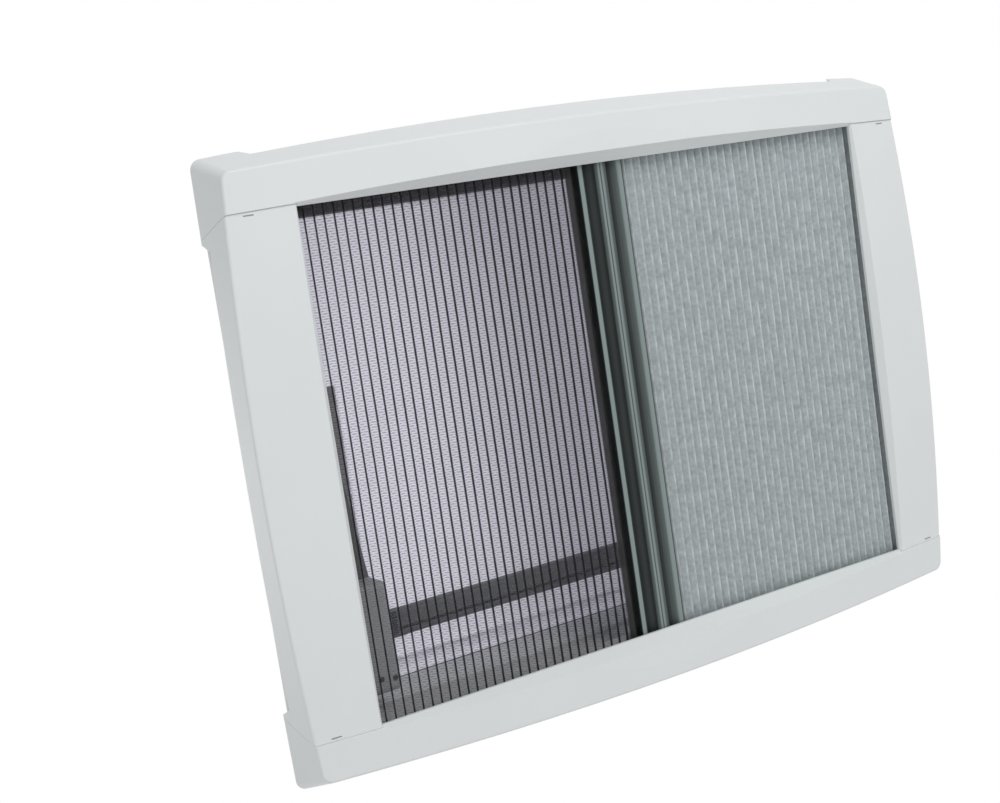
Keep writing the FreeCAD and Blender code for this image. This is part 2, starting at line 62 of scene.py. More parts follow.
# Screens: room between a sheet and its bar, depth of the pleats, dark end of the blind
END_GAP = 0.0006
FLYSCREEN_RISE = 0.0044
BLIND_RISE = 0.005
BLIND_STRIP = 0.0026
PLEAT_STEPS = 8
PLEAT_ROWS = 41
FLYSCREEN_LOW, FLYSCREEN_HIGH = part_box("flyscreen")
BLIND_LOW, BLIND_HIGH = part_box("blackout_blind")

# Pull bars: left edges, width, and how light the colour is at shares of the width: painted highlight on rims
# and lips, painted shade in the finger scoops and along the edges
FLYSCREEN_BAR_EDGE = -0.0263
BLIND_BAR_EDGE = 0.0003
BAR_WIDTH = 0.026
FLYSCREEN_BAR_PAINTED_LIGHT = [(0.0, 0.03), (0.012, 0.03), (0.045, 1.0), (0.30, 1.0), (0.38, 0.22), (0.48, 0.05),
                        (0.74, 0.16), (0.86, 0.34), (0.94, 1.0), (1.0, 0.8)]
BLIND_BAR_PAINTED_LIGHT = [(0.0, 0.6), (0.05, 1.0), (0.09, 0.9), (0.15, 0.40), (0.30, 0.16), (0.43, 0.05),
                    (0.56, 0.14), (0.67, 0.36), (0.77, 1.0), (0.93, 1.0), (0.955, 0.12), (1.0, 0.10)]

# Painted shade line along the groove in the bow's bar, and the clear field inside the pane's black painted
# shade along the hinge side and both ends
GROOVE_Y = 0.1785
GROOVE_HALF, GROOVE_EDGE = 0.0011, 0.0018
MARGIN_X, MARGIN_Y, MARGIN_ROUND, MARGIN_SOFT = 0.326, 0.2185, 0.016, 0.0004
# Near-black painted shade on the pane along the hinge side and both ends
PAINTED_SHADE_BLACK = (0.022, 0.022, 0.022)

# Small fasteners: places, radii of screw heads, and where the rays start that find the surface under them
SLOT_X, SLOT_Y = 0.3645, 0.2270
SLOT_SPAN, SLOT_WIDTH, SLOT_DEPTH = 0.0095, 0.0010, 0.0002
CLAMP_STATIONS = [-0.22, 0.0, 0.22]
CLAMP_SCREW_STEP = 0.011
CLAMP_FOOT_X, CLAMP_FOOT_Y, CLAMP_WALL_Z = 0.362, 0.262, -0.048
HINGE_SCREWS = [-0.26, -0.20, -0.14, -0.08, -0.02, 0.04, 0.10, 0.16, 0.22, 0.27]
FRAME_LEAF_Z, LID_LEAF_Z = 0.027, 0.061
LOCK_SCREWS = [(0.2895, 0.206), (0.2755, 0.208)]
CLAMP_HEAD, FRAME_LEAF_HEAD, LID_LEAF_HEAD, LOCK_HEAD = 0.0042, 0.0036, 0.0024, 0.0026
BELOW, BESIDE = -0.3, 0.5
UP = (0, 0, 1)
ALONG_X = (1, 0, 0)


# Settings that a user would change

def colour(name, description, value):
    return bpy.props.FloatVectorProperty(name=name, description=description, subtype="COLOR", size=3,
                                         min=0.0, max=1.0, default=value)


def length(name, description, value):
    return bpy.props.FloatProperty(name=name, description=description, default=value, subtype="DISTANCE",
                                   unit="LENGTH", precision=5)


def share(name, description, value):
    return bpy.props.FloatProperty(name=name, description=description, default=value, min=0.0, max=1.0,
                                   subtype="FACTOR")


def power(name, description, value):
    return bpy.props.FloatProperty(name=name, description=description, default=value, subtype="POWER")


class HatchFinish(bpy.types.PropertyGroup):
    """Colours of the moulded, metal and acrylic pieces"""
    trim: colour("Trim", "Moulded inner trim", (0.757, 0.79, 0.797))
    roof_frame: colour("Roof frame", "Flanged frame in the roof", (0.70, 0.72, 0.72))
    reveal: colour("Reveal", "Panels that line the roof opening", (0.48, 0.49, 0.49))
    acrylic: colour("Acrylic", "Translucent lid", (0.86, 0.85, 0.90))
    grey_plastic: colour("Grey plastic", "Operating bow", (0.098, 0.105, 0.105))
    black_plastic: colour("Black plastic", "Catches and glides", (0.018, 0.018, 0.019))
    guide: colour("Guides", "Screen guides and cassettes", (0.55, 0.57, 0.57))
    # The pull bars' colour is darkened into the finger scoops as painted shade and lightened on the rims as
    # painted highlight
    bar: colour("Pull bars", "Painted rims, which darken into the finger scoops", (0.25, 0.305, 0.30))
    lock: colour("Locks", "Lock housings", (0.33, 0.34, 0.345))
    zinc: colour("Zinc", "Clamps, pins and screws", (0.55, 0.56, 0.57))
    anodised: colour("Anodised", "Hinge leaves", (0.62, 0.63, 0.64))
    rubber: colour("Rubber", "Lid seal", (0.02, 0.02, 0.021))


class HatchScreens(bpy.types.PropertyGroup):
    """Pleats and cloth of the two screens"""
    fly_folds: bpy.props.IntProperty(name="Flyscreen folds", description="Pleats of the flyscreen",
                                     default=36, min=4, max=90)
    fly_thread: colour("Flyscreen thread", "Thread of the mesh", (0.30, 0.29, 0.34))
    # Near-black painted shade along the flyscreen's folds, darker than its thread
    fly_fold_shade: colour("Flyscreen fold", "Heat-set fold lines", (0.014, 0.014, 0.015))
    fly_edge: colour("Flyscreen edge", "Strip that joins the mesh to its bar", (0.040, 0.040, 0.041))
    fly_cover: share("Flyscreen cover", "How much of the mesh is thread", 0.44)
    blind_folds: bpy.props.IntProperty(name="Blind folds", description="Pleats of the blackout blind",
                                       default=36, min=4, max=90)
    blind_cloth: colour("Blind cloth", "Non-woven cloth of the blind", (0.435, 0.48, 0.49))
    # Painted highlight along the blind's fold crests
    blind_crest_highlight: colour("Blind crest", "Cloth along the folds", (0.70, 0.76, 0.76))
    edge_strip: length("Edge strip", "Dark strip that joins a screen to its bar", 0.0085)
    sway: length("Sway", "How far a fold wanders from its place", 0.0007)


class HatchStage(bpy.types.PropertyGroup):
    """Camera, lamps and floor"""
    camera_place: bpy.props.FloatVectorProperty(name="Camera place", description="Where the camera stands",
                                                subtype="TRANSLATION", size=3,
                                                default=(-0.8956, -0.2146, -1.3215))
    camera_turn: bpy.props.FloatVectorProperty(name="Camera turn", description="How the camera is turned",
                                               subtype="EULER", size=3, default=(3.10439, 0.55298, 0.17523))
    lens: bpy.props.FloatProperty(name="Lens", description="Focal length on a 36 mm sensor", default=57.52,
                                  subtype="DISTANCE_CAMERA")
    key_power: power("Key", "Lamp under the hinge side", 17.5)
    fill_power: power("Fill", "Lamp beside the camera", 6.4)
    edge_power: power("Edge", "Faint lamp beyond the handle side", 3.0)
    sky_power: power("Sky", "Lamp over the lid", 15.0)
    ambient: bpy.props.FloatProperty(name="Ambient", description="Even light from all sides", default=0.54,
                                     min=0.0)
    floor_drop: length("Floor", "Height of the floor under the roof", -2.2)


# Node helpers

def node(tree, kind, inputs=None, **settings):
    """Adds a node. Inputs are given by socket name or number; a socket as value is linked."""
    made = tree.nodes.new(kind)
    for key, value in settings.items():
        setattr(made, key, value)
    for key, value in (inputs or {}).items():
        socket = made.inputs[key]
        if isinstance(value, bpy.types.NodeSocket):
            tree.links.new(value, socket)
        else:
            socket.default_value = value
    return made


def maths(tree, operation, first, second=0.0, third=0.0):
    """The result of a Math node on numbers or sockets."""
    return node(tree, "ShaderNodeMath", {0: first, 1: second, 2: third}, operation=operation).outputs[0]


def remap(tree, value, low=0.0, high=1.0, to_low=0.0, to_high=1.0):
    """Takes a value from one range to another and holds it there."""
    inputs = {"Value": value, 1: low, 2: high, 3: to_low, 4: to_high}
    return node(tree, "ShaderNodeMapRange", inputs).outputs[0]


def axes(tree, place):
    """A vector's X, Y and Z."""
    return node(tree, "ShaderNodeSeparateXYZ", {0: place}).outputs


def object_place(tree):
    """A point's place in its piece's own space."""
    return node(tree, "ShaderNodeTexCoord").outputs["Object"]


def cloth_place(tree):
    """A point's place on a screen that is pulled flat, in metres."""
    return node(tree, "ShaderNodeUVMap", uv_map="Cloth").outputs[0]


def attribute(tree, name):
    """A value that the pleated sheets carry on their points."""
    return node(tree, "ShaderNodeAttribute", attribute_name=name).outputs["Fac"]


def mix_colour(tree, factor, first, second):
    """A colour from first to second by a factor. Each is a socket, or red, green and blue."""
    made = node(tree, "ShaderNodeMix", {"Factor": factor}, data_type="RGBA")
    for number, value in ((6, first), (7, second)):
        if isinstance(value, bpy.types.NodeSocket):
            tree.links.new(value, made.inputs[number])
        else:
            made.inputs[number].default_value = (*value, 1.0)
    return made.outputs[2]


def new_socket(tree, name, kind, output=False, value=None):
    """Adds an input or an output to a node group."""
    socket = tree.interface.new_socket(name, in_out="OUTPUT" if output else "INPUT", socket_type=kind)
    if value is not None:
        socket.default_value = value


def shader_group(name, inputs, outputs):
    """An empty shader node group with named float inputs and outputs."""
    tree = bpy.data.node_groups.new(name, "ShaderNodeTree")
    for label, value in inputs.items():
        new_socket(tree, label, "NodeSocketFloat", value=value)
    for label in outputs:
        new_socket(tree, label, "NodeSocketFloat", output=True)
    return tree, tree.nodes.new("NodeGroupInput").outputs, tree.nodes.new("NodeGroupOutput").inputs


def moulded_grain_group():
    """Fine spark-eroded grain of moulded plastic, with broad, faint patches."""
    tree, given, result = shader_group("Moulded grain", {"Grain size": 0.0009, "Patch size": 0.12},
                                       ["Grain", "Patches"])
    place = object_place(tree)
    fine = node(tree, "ShaderNodeTexNoise", {"Vector": place, "Detail": 2.0,
                                             "Scale": maths(tree, "DIVIDE", 1.0, given["Grain size"])})
    broad = node(tree, "ShaderNodeTexNoise", {"Vector": place, "Detail": 3.0,
                                              "Scale": maths(tree, "DIVIDE", 1.0, given["Patch size"])})
    tree.links.new(fine.outputs["Fac"], result["Grain"])
    tree.links.new(broad.outputs["Fac"], result["Patches"])
    return tree


def brushed_group():
    """Short scratches along X, as on drawn or brushed metal."""
    tree, given, result = shader_group("Brushed", {"Scratch width": 0.0006, "Stretch": 40.0}, ["Scratches"])
    place = object_place(tree)
    size = maths(tree, "DIVIDE", 1.0, given["Scratch width"])
    along = maths(tree, "DIVIDE", size, given["Stretch"])
    scale = node(tree, "ShaderNodeCombineXYZ", {"X": along, "Y": size, "Z": size}).outputs[0]
    stretched = node(tree, "ShaderNodeVectorMath", {0: place, 1: scale}, operation="MULTIPLY").outputs[0]
    noise = node(tree, "ShaderNodeTexNoise", {"Vector": stretched, "Scale": 1.0, "Detail": 3.0})
    tree.links.new(noise.outputs["Fac"], result["Scratches"])
    return tree


def thread_group():
    """Brick-bond weave on a screen's own map, in metres: 1 on a thread, 0 in a hole."""
    tree, given, result = shader_group("Thread weave", {"Row": 0.0017, "Stitch": 0.0046, "Soft": 0.5},
                                       ["Weave", "Fuzz"])
    place = cloth_place(tree)
    split = axes(tree, place)
    fuzz = node(tree, "ShaderNodeTexNoise", {"Vector": place, "Scale": 420.0, "Detail": 2.0}).outputs["Fac"]
    wander = maths(tree, "MULTIPLY_ADD", fuzz, 0.24, -0.12)
    row = maths(tree, "ADD", maths(tree, "DIVIDE", split["Y"], given["Row"]), wander)
    odd = maths(tree, "MULTIPLY", maths(tree, "FLOORED_MODULO", maths(tree, "FLOOR", row), 2.0), 0.5)
    stitch = maths(tree, "ADD", maths(tree, "DIVIDE", split["X"], given["Stitch"]), odd)
    across = maths(tree, "PINGPONG", row, 0.5)
    along = maths(tree, "PINGPONG", stitch, 0.5)
    dash = maths(tree, "MULTIPLY", maths(tree, "MULTIPLY", across, 2.0),
                 maths(tree, "MULTIPLY_ADD", along, 1.2, 0.4))
    weave = remap(tree, dash, 0.15, maths(tree, "ADD", 0.15, given["Soft"]))
    tree.links.new(weave, result["Weave"])
    tree.links.new(fuzz, result["Fuzz"])
    return tree


GRAIN = moulded_grain_group()
BRUSHED = brushed_group()
THREAD = thread_group()


# Materials

def material(name, **plain):
    """A material with a Principled BSDF whose plain sockets are set directly."""
    made = bpy.data.materials.new(name)
    made.use_nodes = True
    shader = made.node_tree.nodes["Principled BSDF"]
    for key, value in plain.items():
        shader.inputs[key.replace("_", " ")].default_value = value
    return made, made.node_tree, shader


def set_group(tree, which, inputs):
    """Places a shared effect in a material with its own values."""
    return node(tree, "ShaderNodeGroup", inputs, node_tree=which)


def shade(base, factor):
    """A colour made darker or lighter."""
    return tuple(min(1.0, channel * factor) for channel in base)


def bump(tree, shader, height, distance):
    """Raises the surface by a height from 0 to 1 times a distance."""
    made = node(tree, "ShaderNodeBump", {"Height": height, "Distance": distance, "Strength": 1.0})
    tree.links.new(made.outputs[0], shader.inputs["Normal"])


def moulded(name, base, roughness, grain=0.0009, depth=0.00004, variation=0.03):
    """Moulded plastic: fine grain, faint patches in colour and gloss."""
    made, tree, shader = material(name, Specular_IOR_Level=0.4)
    grained = set_group(tree, GRAIN, {"Grain size": grain, "Patch size": 0.12})
    patches = grained.outputs["Patches"]
    tone = mix_colour(tree, patches, shade(base, 1 - variation), shade(base, 1 + variation))
    tree.links.new(tone, shader.inputs["Base Color"])
    gloss = remap(tree, patches, to_low=roughness - 0.06, to_high=roughness + 0.06)
    tree.links.new(gloss, shader.inputs["Roughness"])
    bump(tree, shader, grained.outputs["Grain"], depth)
    return made


def black_plastic(look):
    """The plastic that catches, lock screws and glides share, made once."""
    return bpy.data.materials.get("Black plastic") or moulded("Black plastic", look.black_plastic, 0.4)


def metal(name, base, roughness, scratch=0.0006, depth=0.00002):
    """Drawn or plated metal with fine scratches along its length."""
    made, tree, shader = material(name, Metallic=1.0)
    brushed = set_group(tree, BRUSHED, {"Scratch width": scratch, "Stretch": 40.0}).outputs[0]
    tone = mix_colour(tree, brushed, shade(base, 0.9), shade(base, 1.1))
    tree.links.new(tone, shader.inputs["Base Color"])
    gloss = remap(tree, brushed, to_low=roughness - 0.08, to_high=roughness + 0.08)
    tree.links.new(gloss, shader.inputs["Roughness"])
    bump(tree, shader, brushed, depth)
    return made


def beyond(tree, value, limit):
    """How far a value is past a limit, or 0 short of it."""
    return maths(tree, "MAXIMUM", maths(tree, "SUBTRACT", value, limit), 0.0)


def hinge_painted_shade(tree):
    """Painted shade mask: 1 on the pane's margin along the hinge and both ends, past a line with round
    corners, 0 inside it.
    """
    split = axes(tree, object_place(tree))
    over_x = beyond(tree, maths(tree, "ABSOLUTE", split["X"]), MARGIN_X - MARGIN_ROUND)
    over_y = beyond(tree, maths(tree, "MULTIPLY", split["Y"], -1.0), MARGIN_Y - MARGIN_ROUND)
    squares = maths(tree, "ADD", maths(tree, "POWER", over_x, 2.0), maths(tree, "POWER", over_y, 2.0))
    return remap(tree, maths(tree, "SQRT", squares), MARGIN_ROUND - MARGIN_SOFT, MARGIN_ROUND + MARGIN_SOFT)


def acrylic_material(name, base, painted_shade=False):
    """Tinted, translucent acrylic with a faintly uneven skin, and, where asked, near-black painted shade
    along the hinge side and both ends.
    """
    made, tree, shader = material(name, Transmission_Weight=0.7, IOR=1.1)
    patches = set_group(tree, GRAIN, {"Grain size": 0.004, "Patch size": 0.2}).outputs["Patches"]
    tone = mix_colour(tree, patches, shade(base, 0.97), base)
    # Painted shade: the pane turns near black along the hinge side and both ends
    if painted_shade:
        tone = mix_colour(tree, hinge_painted_shade(tree), tone, PAINTED_SHADE_BLACK)
    tree.links.new(tone, shader.inputs["Base Color"])
    tree.links.new(remap(tree, patches, to_low=0.42, to_high=0.55), shader.inputs["Roughness"])
    bump(tree, shader, patches, 0.0004)
    return made


def bar_painted_light(name, base, edge, stops):
    """Satin paint across a pull bar from its left edge, with painted light in its colour: painted highlight
    on rim and lip, painted shade in the finger scoop and along the edges.
    """
    made, tree, shader = material(name, Specular_IOR_Level=0.22)
    # Painted light: the ramp lightens rims and lips and darkens the scoop and edges as light on the bar's
    # profile would
    across = remap(tree, axes(tree, object_place(tree))["X"], edge, edge + BAR_WIDTH)
    ramp = node(tree, "ShaderNodeValToRGB", {"Fac": across})
    ramp.color_ramp.interpolation = "EASE"
    while len(ramp.color_ramp.elements) < len(stops):
        ramp.color_ramp.elements.new(0.5)
    for element, (position, level) in zip(ramp.color_ramp.elements, stops):
        element.position = position
        element.color = (*shade(base, level), 1.0)
    grained = set_group(tree, GRAIN, {"Grain size": 0.0007, "Patch size": 0.06})
    patches = grained.outputs["Patches"]
    tone = mix_colour(tree, maths(tree, "MULTIPLY", patches, 0.12), ramp.outputs[0], shade(base, 0.5))
    tree.links.new(tone, shader.inputs["Base Color"])
    tree.links.new(remap(tree, patches, to_low=0.40, to_high=0.50), shader.inputs["Roughness"])
    bump(tree, shader, grained.outputs["Grain"], 0.00002)
    return made


def bow_plastic(base):
    """Grey moulding of the bow, with a nearly black line of painted shade along the groove in its bar."""
    made = moulded("Bow plastic", base, 0.45)
    tree = made.node_tree
    colour_input = tree.nodes["Principled BSDF"].inputs["Base Color"]
    plain = colour_input.links[0].from_socket
    # Painted shade: nearly black in a narrow line along the groove
    away = maths(tree, "ABSOLUTE", maths(tree, "SUBTRACT", axes(tree, object_place(tree))["Y"], GROOVE_Y))
    groove_shade = remap(tree, away, GROOVE_HALF, GROOVE_EDGE, 1.0, 0.0)
    tree.links.new(mix_colour(tree, groove_shade, plain, shade(base, 0.05)), colour_input)
    return made


def flyscreen_material(look):
    """Fine knitted mesh: open between the threads, closed along its folds and its edge; dark at its edge, and
    near black along its folds as painted shade in the creases.
    """
    made, tree, shader = material("Pleated mesh", Roughness=0.85, Specular_IOR_Level=0.2)
    weave = set_group(tree, THREAD, {"Row": 0.0023, "Stitch": 0.0078, "Soft": 0.42})
    edge = attribute(tree, "edge")
    # Painted shade: the folds turn near black, wider towards the bar; the same mask closes the mesh there
    wider_to_bar = remap(tree, axes(tree, cloth_place(tree))["X"], 0.0, 0.38, -0.08, 0.03)
    sharp = maths(tree, "MULTIPLY_ADD", weave.outputs["Fuzz"], 0.10,
                  maths(tree, "ADD", attribute(tree, "crest"), wider_to_bar))
    fold = remap(tree, sharp, 0.73, 0.85)
    mesh = mix_colour(tree, fold, look.fly_thread, look.fly_fold_shade)
    tree.links.new(mix_colour(tree, edge, mesh, look.fly_edge), shader.inputs["Base Color"])
    threads = maths(tree, "MULTIPLY", weave.outputs["Weave"], look.fly_cover)
    closed = maths(tree, "MULTIPLY", maths(tree, "MAXIMUM", fold, edge), 0.95)
    tree.links.new(maths(tree, "MAXIMUM", threads, closed), shader.inputs["Alpha"])
    bump(tree, shader, weave.outputs["Weave"], 0.0001)
    return made


def blind_material(look):
    """Non-woven cloth: mottled fibre, a broken painted highlight along the fold crests, and dark beside the
    bar.
    """
    made, tree, shader = material("Pleated blind cloth", Roughness=0.9, Specular_IOR_Level=0.15)
    place = cloth_place(tree)
    fibre = node(tree, "ShaderNodeTexNoise", {"Vector": place, "Scale": 210.0, "Detail": 4.0,
                                              "Roughness": 0.6}).outputs["Fac"]
    blotch = node(tree, "ShaderNodeTexNoise", {"Vector": place, "Scale": 75.0, "Detail": 2.0}).outputs["Fac"]
    mottle = maths(tree, "MULTIPLY_ADD", fibre, 0.7, maths(tree, "MULTIPLY", blotch, 0.3))
    cloth = mix_colour(tree, remap(tree, mottle, 0.3, 0.7), shade(look.blind_cloth, 0.79),
                       shade(look.blind_cloth, 1.25))
    # Painted highlight: the fold crests turn paler where light catches them, broken up by the blotches
    crest_highlight = maths(tree, "MULTIPLY", remap(tree, attribute(tree, "crest"), 0.74, 0.9),
                 remap(tree, blotch, 0.36, 0.66, 0.12, 0.85))
    with_highlight = mix_colour(tree, crest_highlight, cloth, look.blind_crest_highlight)
    ends = mix_colour(tree, attribute(tree, "edge"), with_highlight, shade(look.blind_cloth, 0.12))
    tree.links.new(ends, shader.inputs["Base Color"])
    bump(tree, shader, fibre, 0.0003)
    return made


def finish_nodes(names, made):
    """Gives CAD nodes their material."""
    for name in names:
        mesh = NODES[name].data
        mesh.materials.clear()
        mesh.materials.append(made)


# Geometry Nodes

def geometry_tree(name, floats=None, ints=None):
    """An empty Geometry Nodes tree with named inputs, a material input and one geometry output."""
    tree = bpy.data.node_groups.new(name, "GeometryNodeTree")
    for label, value in (floats or {}).items():
        new_socket(tree, label, "NodeSocketFloat", value=value)
    for label, value in (ints or {}).items():
        new_socket(tree, label, "NodeSocketInt", value=value)
    new_socket(tree, "Material", "NodeSocketMaterial")
    new_socket(tree, "Geometry", "NodeSocketGeometry", output=True)
    return tree, tree.nodes.new("NodeGroupInput").outputs, tree.nodes.new("NodeGroupOutput").inputs


def end_tree(tree, geometry, made, result):
    """Makes the instances real, paints them and puts them out."""
    real = node(tree, "GeometryNodeRealizeInstances", {0: geometry}).outputs[0]
    painted = node(tree, "GeometryNodeSetMaterial", {"Geometry": real, "Material": made}).outputs[0]
    tree.links.new(painted, result["Geometry"])


def store(tree, geometry, name, kind, domain, value):
    """Keeps a value on a mesh under a name."""
    made = node(tree, "GeometryNodeStoreNamedAttribute", {"Geometry": geometry, "Name": name},
                data_type=kind, domain=domain)
    tree.links.new(value, made.inputs["Value"])
    return made.outputs[0]


def pleat_tree():
    """A pleated sheet from one end to the other: sharp folds towards the room, with a slight sway."""
    tree, given, result = geometry_tree(
        "Pleated sheet", {"Start": 0.0, "End": 0.3, "Half width": 0.2, "Front": 0.0, "Rise": 0.005,
                          "Sway": 0.0, "Cloth length": 0.4, "Edge strip": 0.01}, {"Folds": 30})
    columns = maths(tree, "MULTIPLY_ADD", given["Folds"], float(PLEAT_STEPS), 1.0)
    grid = node(tree, "GeometryNodeMeshGrid", {"Size X": 1.0, "Size Y": 1.0, "Vertices X": columns,
                                               "Vertices Y": PLEAT_ROWS}).outputs["Mesh"]
    split = axes(tree, node(tree, "GeometryNodeInputPosition").outputs[0])
    u = maths(tree, "ADD", split["X"], 0.5)
    v = maths(tree, "ADD", split["Y"], 0.5)
    phase = maths(tree, "MULTIPLY", u, given["Folds"])
    crest = maths(tree, "MULTIPLY", maths(tree, "PINGPONG", phase, 0.5), 2.0)

    fold_number = maths(tree, "FLOOR", maths(tree, "ADD", phase, 0.25))
    spot = node(tree, "ShaderNodeCombineXYZ", {"X": maths(tree, "MULTIPLY", fold_number, 7.3),
                                               "Y": maths(tree, "MULTIPLY", v, 3.0)}).outputs[0]
    noise = node(tree, "ShaderNodeTexNoise", {"Vector": spot, "Scale": 1.0, "Detail": 1.0}).outputs["Fac"]
    free = remap(tree, maths(tree, "PINGPONG", u, 0.5), 0.0, 0.03)
    sway = maths(tree, "MULTIPLY", maths(tree, "MULTIPLY_ADD", noise, 2.0, -1.0),
                 maths(tree, "MULTIPLY", given["Sway"], maths(tree, "MULTIPLY", free, crest)))
    span = maths(tree, "SUBTRACT", given["End"], given["Start"])
    x = maths(tree, "ADD", maths(tree, "MULTIPLY_ADD", u, span, given["Start"]), sway)
    y = maths(tree, "MULTIPLY", split["Y"], maths(tree, "MULTIPLY", given["Half width"], 2.0))
    z = maths(tree, "MULTIPLY_ADD", maths(tree, "SUBTRACT", 1.0, crest), given["Rise"], given["Front"])
    place = node(tree, "ShaderNodeCombineXYZ", {"X": x, "Y": y, "Z": z}).outputs[0]
    cloth_x = maths(tree, "MULTIPLY", u, given["Cloth length"])
    cloth = node(tree, "ShaderNodeCombineXYZ", {"X": cloth_x, "Y": y}).outputs[0]
    from_bar = maths(tree, "MULTIPLY", maths(tree, "SUBTRACT", 1.0, u), maths(tree, "ABSOLUTE", span))
    edge = maths(tree, "LESS_THAN", from_bar, given["Edge strip"])

    sheet = store(tree, grid, "Cloth", "FLOAT2", "CORNER", cloth)
    sheet = store(tree, sheet, "crest", "FLOAT", "POINT", crest)
    sheet = store(tree, sheet, "edge", "FLOAT", "POINT", edge)
    sheet = node(tree, "GeometryNodeSetPosition", {"Geometry": sheet, "Position": place}).outputs[0]
    end_tree(tree, sheet, given["Material"], result)
    return tree


def fastener_tree():
    """Puts a small piece on every point of a mesh, standing along the point's facing, turned along a line."""
    tree = bpy.data.node_groups.new("Fasteners on points", "GeometryNodeTree")
    new_socket(tree, "Points", "NodeSocketGeometry")
    new_socket(tree, "Along", "NodeSocketVector")
    new_socket(tree, "Piece", "NodeSocketObject")
    new_socket(tree, "Material", "NodeSocketMaterial")
    new_socket(tree, "Geometry", "NodeSocketGeometry", output=True)
    given = tree.nodes.new("NodeGroupInput").outputs
    result = tree.nodes.new("NodeGroupOutput").inputs
    facing = node(tree, "GeometryNodeInputNamedAttribute", {"Name": "facing"},
                  data_type="FLOAT_VECTOR").outputs[0]
    upright = node(tree, "FunctionNodeAlignRotationToVector", {"Vector": facing}, axis="Z").outputs[0]
    turned = node(tree, "FunctionNodeAlignRotationToVector", {"Rotation": upright, "Vector": given["Along"]},
                  axis="X", pivot_axis="Z").outputs[0]
    piece = node(tree, "GeometryNodeObjectInfo", {"Object": given["Piece"]}).outputs["Geometry"]
    rows = node(tree, "GeometryNodeInstanceOnPoints", {"Points": given["Points"], "Instance": piece,
                                                       "Rotation": turned}).outputs[0]
    end_tree(tree, rows, given["Material"], result)
    return tree


PLEATS = pleat_tree()
FASTENERS = fastener_tree()


def grow(name, tree, values, points=None):
    """Runs a tree on an empty object, or on given points, and returns the result as a plain mesh object."""
    source = bpy.data.objects.new(name + "_source", points or bpy.data.meshes.new(name + "_source"))
    bpy.context.collection.objects.link(source)
    modifier = source.modifiers.new("Nodes", "NODES")
    modifier.node_group = tree
    for item in tree.interface.items_tree:
        if item.item_type == "SOCKET" and item.in_out == "INPUT" and item.name in values:
            modifier[item.identifier] = values[item.name]
    graph = bpy.context.evaluated_depsgraph_get()
    mesh = bpy.data.meshes.new_from_object(source.evaluated_get(graph), depsgraph=graph)
    source.modifiers.remove(modifier)
    bpy.data.objects.remove(source)
    mesh.name = name
    return link(name, mesh)


def link(name, mesh):
    """Puts a mesh in the scene as an object at the origin."""
    made = bpy.data.objects.new(name, mesh)
    bpy.context.collection.objects.link(made)
    return made


# Small fasteners

def surface_point(node_name, start, direction):
    """Where a ray first meets a CAD node, and the way the surface faces there."""
    mesh = NODES[node_name].data
    skin = BVHTree.FromPolygons([v.co for v in mesh.vertices], [tuple(p.vertices) for p in mesh.polygons])
    place, facing = skin.ray_cast(Vector(start), Vector(direction))[:2]
    if place is None:
        raise RuntimeError(f"no surface of {node_name} under {start}")
    return place, facing


def screw_head(radius):
    """A pan head with a cross recess, standing on the XY plane."""
    shell = bmesh.new()
    sides = 24
    crown, recess = 0.56, 0.18
    profile = [(1.0, 0.0), (1.0, 0.30), (0.92, 0.46), (0.74, crown)]
    rings = []
    for reach, height in profile:
        rings.append([shell.verts.new((radius * reach * math.cos(math.tau * i / sides),
                                       radius * reach * math.sin(math.tau * i / sides), radius * height))
                      for i in range(sides)])
    for lower, upper in zip(rings, rings[1:]):
        for i in range(sides):
            j = (i + 1) % sides
            shell.faces.new((lower[i], lower[j], upper[j], upper[i]))
    shell.faces.new(rings[0][::-1])
    half, arm = 0.11 * radius, 0.46 * radius
    quarter = [(arm, -half), (arm, half), (half, half)]
    outline = []
    for turn in range(4):
        spin = Matrix.Rotation(turn * math.pi / 2, 2)
        outline += [spin @ Vector(point) for point in quarter]
    corners = len(outline)
    top = [shell.verts.new((x, y, radius * crown)) for x, y in outline]
    floor = [shell.verts.new((x * 0.8, y * 0.8, radius * recess)) for x, y in outline]
    rim = [shell.edges.get((rings[-1][i], rings[-1][(i + 1) % sides])) for i in range(sides)]
    cross = [shell.edges.new((top[i], top[(i + 1) % corners])) for i in range(corners)]
    bmesh.ops.triangle_fill(shell, use_beauty=True, edges=rim + cross)
    for i in range(corners):
        j = (i + 1) % corners
        shell.faces.new((top[i], top[j], floor[j], floor[i]))
    shell.faces.new(floor)
    bmesh.ops.recalc_face_normals(shell, faces=shell.faces)
    return finished("screw_head", shell)


def clip_slot(span, width, depth):
    """A narrow moulded slot with round ends, drawn as a dark inset just proud of its surface: painted shade
    for the hollow of the slot.
    """
    shell = bmesh.new()
    steps = 8
    outline = []
    for side in (1, -1):
        for i in range(steps + 1):
            angle = math.pi / 2 - math.pi * i / steps
            outline.append((side * ((span - width) / 2 + width / 2 * math.cos(angle)),
                            side * width / 2 * math.sin(angle)))
    top = [shell.verts.new((x, y, depth)) for x, y in outline]
    bottom = [shell.verts.new((x, y, -depth)) for x, y in outline]
    shell.faces.new(top)
    shell.faces.new(bottom[::-1])
    for i in range(len(outline)):
        j = (i + 1) % len(outline)
        shell.faces.new((bottom[i], bottom[j], top[j], top[i]))
    bmesh.ops.recalc_face_normals(shell, faces=shell.faces)
    return finished("clip_slot", shell)


def finished(name, shell):
    """A loose object for a tree to repeat, kept out of the scene."""
    mesh = bpy.data.meshes.new(name)
    shell.to_mesh(mesh)
    shell.free()
    return bpy.data.objects.new(name, mesh)


